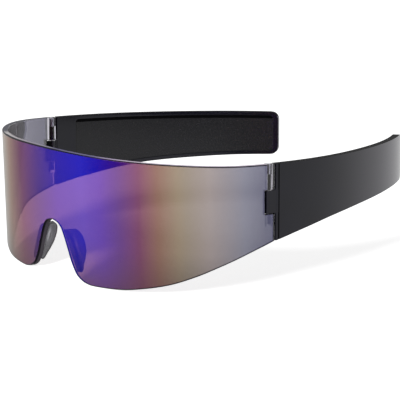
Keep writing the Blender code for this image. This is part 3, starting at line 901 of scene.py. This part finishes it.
for side, name in ((1, "left"), (-1, "right")):
    temple = flat_sheet("temple_arm_" + name, temple_columns, temple_rows)
    thicken(temple, TEMPLE_THICKNESS)
    edit(temple)
    pick(
        temple, "FACE",
        lambda face: face.normal.y > 0.9
        and PANEL_START < face.calc_center_median().x < TEMPLE_LENGTH - PANEL_TIP_RIM
        and temple_rows(face.calc_center_median().x)[3] < face.calc_center_median().z
        < temple_rows(face.calc_center_median().x)[1],
    )
    bpy.ops.mesh.extrude_region_move(TRANSFORM_OT_translate={"value": (0.0, -PANEL_DEPTH, 0.0)})
    done()
    bevel_edges(
        temple,
        lambda edge: sharp(edge, 20.0)
        and abs(edge.verts[0].co.y - edge.verts[1].co.y) > PANEL_DEPTH * 0.9
        and centre(edge).y > TEMPLE_THICKNESS - PANEL_DEPTH
        and PANEL_START - MARGIN < centre(edge).x < TEMPLE_LENGTH - PANEL_TIP_RIM + MARGIN
        and edge.calc_length() < PANEL_DEPTH * 1.1,
        PANEL_CORNER, 5,
    )
    bevel_edges(
        temple,
        lambda edge: sharp(edge)
        and abs(centre(edge).x) < MERGE_DISTANCE and abs(centre(edge).y) < MERGE_DISTANCE,
        FRONT_ROUND, 6,
    )
    for outer, width in ((True, OUTER_ROUND), (False, INNER_ROUND)):
        bevel_edges(
            temple,
            lambda edge: sharp(edge) and (centre(edge).y < TEMPLE_THICKNESS / 2) == outer and not (
                PANEL_START - MARGIN < centre(edge).x < TEMPLE_LENGTH - PANEL_TIP_RIM + MARGIN
                and temple_rows(centre(edge).x)[3] - MARGIN < centre(edge).z
                < temple_rows(centre(edge).x)[1] + MARGIN
            ),
            width, 5,
        )
    bevel_edges(temple, sharp, FINE_ROUND, 2)
    give_materials(temple, temple_materials, 0)
    # Painted shade: matt black on the upper and lower edges and on a strip under the panel's upper rim.
    for face in temple.data.polygons:
        middle = face.center
        inside = PANEL_START < middle.x < TEMPLE_LENGTH - PANEL_TIP_RIM
        if abs(face.normal.z) > 0.6:
            face.material_index = 2
        elif inside and TEMPLE_THICKNESS - PANEL_DEPTH - MARGIN < middle.y < TEMPLE_THICKNESS - MARGIN:
            line = temple_rows(middle.x)[2]
            face.material_index = 2 if line < middle.z else 1
    # The groove by the hinge, its faces in matt black as painted shade.
    groove = box_between(
        "groove", (GROOVE[0], -OVERCUT, -LENS_HEIGHT - OVERCUT), (GROOVE[1], GROOVE_DEPTH, OVERCUT)
    )
    give_materials(groove, temple_materials, 2)
    boolean(temple, groove, "DIFFERENCE")
    for vertex in temple.data.vertices:
        x, y = plan_point(temple_plan, vertex.co.x / TEMPLE_LENGTH, vertex.co.y)
        vertex.co = (x, y, LENS_HEIGHT + vertex.co.z)
    top = LENS_HEIGHT - SLOT_TOP - BARREL_END_GAP
    bottom = LENS_HEIGHT - SLOT_BOTTOM + BARREL_END_GAP
    barrel = cylinder("barrel", KNUCKLE_RADIUS, top, bottom, PIN_AXIS)
    give_materials(barrel, temple_materials, 0)
    # The ear fills the slot beside the barrel, in matt black as painted shade for the dark gap there.
    ear_axis = (PIN_AXIS[0] - EAR_INSET, PIN_AXIS[1] - EAR_REACH + EAR_RADIUS)
    ear = cylinder("ear", EAR_RADIUS, top, bottom, ear_axis)
    give_materials(ear, temple_materials, 2)
    boolean(barrel, ear, "UNION")
    web = box_between(
        "web",
        (PIN_AXIS[0] - KNUCKLE_RADIUS * WEB_INNER_SHARE, PIN_AXIS[1], bottom),
        (PIN_AXIS[0] + KNUCKLE_RADIUS - WEB_SKIN, lens_end[1] + WEB_REACH, top),
    )
    boolean(barrel, web, "UNION")
    boolean(temple, barrel, "UNION")
    bore_radius = PIN_RADIUS + BORE_CLEARANCE
    bore = cylinder("bore", bore_radius, top + BORE_OVERCUT, bottom - BORE_OVERCUT, PIN_AXIS, 48)
    boolean(temple, bore, "DIFFERENCE")
    if side < 0:
        for vertex in temple.data.vertices:
            vertex.co.x = -vertex.co.x
        face_outwards(temple)
    smooth_shading(temple, 40.0)
    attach(temple, "temple_" + name)
    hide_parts("temple_" + name)

# Floor
# A sheet of matt white card. Its own glow lifts it to the white of the photograph, by more where the
# camera sees it than where it is seen in the mirror or through the plastic, and the shadow stays.
CAMERA_LIFT = 0.75
MIRROR_LIFT = 0.4
bpy.ops.object.select_all(action="DESELECT")
bpy.ops.mesh.primitive_grid_add(x_subdivisions=2, y_subdivisions=2, size=8.0)
floor = bpy.context.object
floor.name = "floor"
card = new_material("matt_white_card")
path = add_node(card, "ShaderNodeLightPath")
behind = add_node(
    card, "ShaderNodeMath", {0: path.outputs["Is Glossy Ray"], 1: path.outputs["Is Transmission Ray"]},
    operation="MAXIMUM",
)
low_lift = add_node(card, "ShaderNodeMath", {0: behind.outputs[0], 1: MIRROR_LIFT}, operation="MULTIPLY")
lift = add_node(
    card, "ShaderNodeMath", {0: path.outputs["Is Camera Ray"], 1: CAMERA_LIFT, 2: low_lift.outputs[0]},
    operation="MULTIPLY_ADD",
)
glow = add_node(card, "ShaderNodeEmission", {"Color": linear("#FFFFFF"), "Strength": lift.outputs[0]})
matt = add_node(card, "ShaderNodeBsdfDiffuse", {"Color": linear("#F0F0F0")})
both = add_node(card, "ShaderNodeAddShader", {0: matt.outputs[0], 1: glow.outputs[0]})
add_node(card, "ShaderNodeOutputMaterial", {"Surface": both.outputs[0]})
floor.data.materials.append(card)

# Light
# An even white room, bright to the camera, less so in the mirror and through the plastic, and dim as a
# light. One distant soft lamp, low to the front on the near side, lays the shadow away from the camera.
ROOM_LIGHT = 0.2
ROOM_IN_MIRROR = 0.8
world = bpy.data.worlds.new("white_room")
bpy.context.scene.world = world
world.use_nodes = True
world.node_tree.nodes.clear()
path = add_node(world, "ShaderNodeLightPath")
seen = add_node(
    world, "ShaderNodeMath", {0: path.outputs["Is Glossy Ray"], 1: path.outputs["Is Transmission Ray"]},
    operation="MAXIMUM",
)
indirect = add_node(
    world, "ShaderNodeMapRange", {"Value": seen.outputs[0], "To Min": ROOM_LIGHT, "To Max": ROOM_IN_MIRROR}
)
strength = add_node(
    world, "ShaderNodeMath", {0: path.outputs["Is Camera Ray"], 1: indirect.outputs["Result"]},
    operation="MAXIMUM",
)
sky = add_node(
    world, "ShaderNodeBackground", {"Color": linear("#FFFFFF"), "Strength": strength.outputs[0]}
)
add_node(world, "ShaderNodeOutputWorld", {"Surface": sky.outputs[0]})

lamp = bpy.data.objects.new("soft_lamp", bpy.data.lights.new("soft_lamp", "SUN"))
lamp.data.energy = 3.5
lamp.data.angle = math.radians(10.0)
lamp.location = (0.82, -1.01, 0.52)
lamp.rotation_euler = (-lamp.location).to_track_quat("-Z", "Y").to_euler()
lamp.visible_glossy = False
lamp.visible_transmission = False
bpy.context.scene.collection.objects.link(lamp)

# Camera
# A long lens a little above the glasses, from the wearer's left of the front.
CAMERA_TILT = 9.417
CAMERA_TURN = 56.378
camera = bpy.data.objects.new("camera", bpy.data.cameras.new("camera"))
camera.data.sensor_width = 36.0
camera.data.lens = 210.97
camera.data.clip_start = 0.01
camera.data.clip_end = 20.0
camera.location = (0.696214, -0.462594, 0.159736)
camera.rotation_euler = (math.radians(90.0 - CAMERA_TILT), 0.0, math.radians(CAMERA_TURN))
bpy.context.scene.collection.objects.link(camera)
bpy.context.scene.camera = camera
bpy.context.scene.view_settings.view_transform = "Standard"
